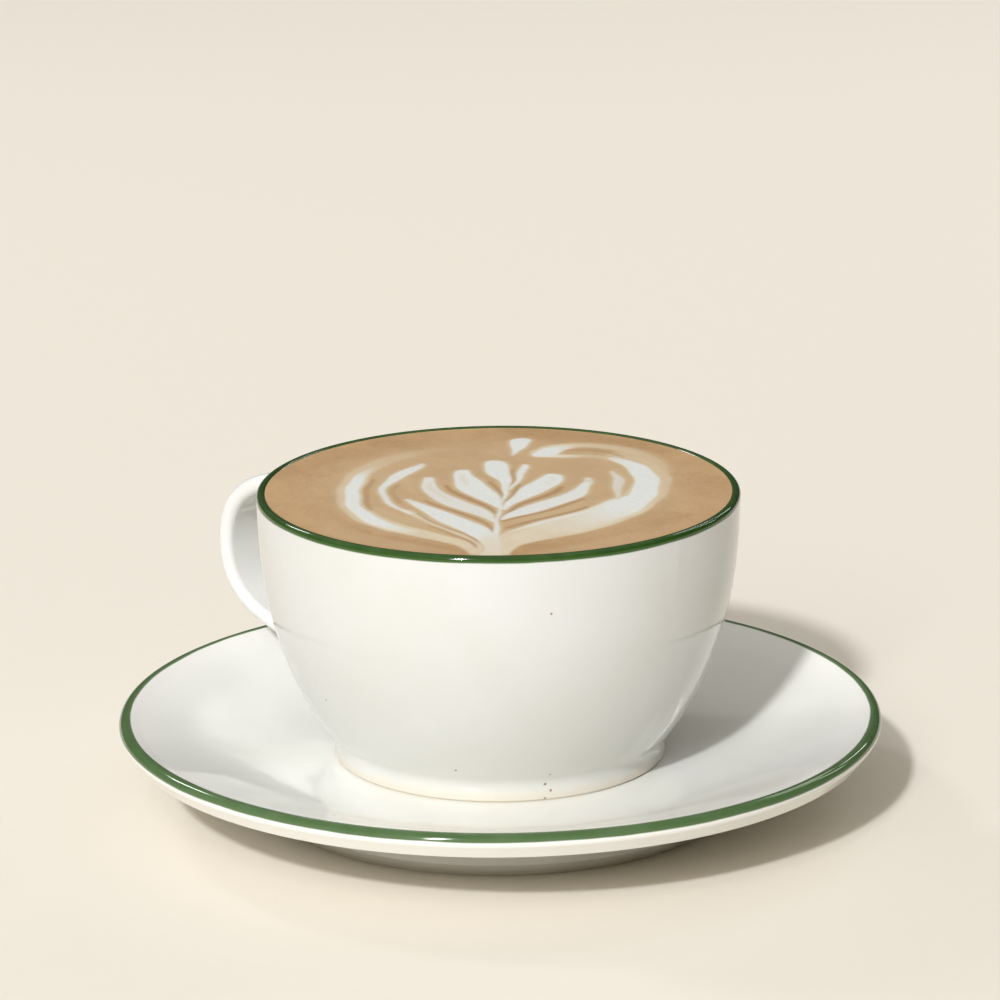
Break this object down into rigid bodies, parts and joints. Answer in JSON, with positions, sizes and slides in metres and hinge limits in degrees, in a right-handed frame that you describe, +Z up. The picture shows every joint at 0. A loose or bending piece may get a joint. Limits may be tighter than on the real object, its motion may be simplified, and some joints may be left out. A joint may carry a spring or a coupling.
{
  "type": "cappuccino in a cup and saucer",
  "caption": "Brim-full cappuccino with a poured milk leaf pattern, in a round glazed cup with a strap handle, standing on its dished saucer.",
  "frame": {"origin": "on the table under the middle of the saucer", "axes": "+Z up; the cup's handle points along -X; the milk pattern's stem starts near the rim at 44 degrees from -Y towards +X"},
  "size_m": [0.1558, 0.1558, 0.066],
  "materials": {
    "glaze": "glossy white glaze with a thin green line over the rims",
    "coffee_foam": "smooth tan coffee foam",
    "milk_foam": "smooth off-white milk foam"
  },
  "bodies": {
    "root": {"saucer": "glaze", "cup": "glaze", "drink": "coffee_foam", "milk_rosetta": "milk_foam", "milk_drop": "milk_foam"}
  },
  "joints": []
}
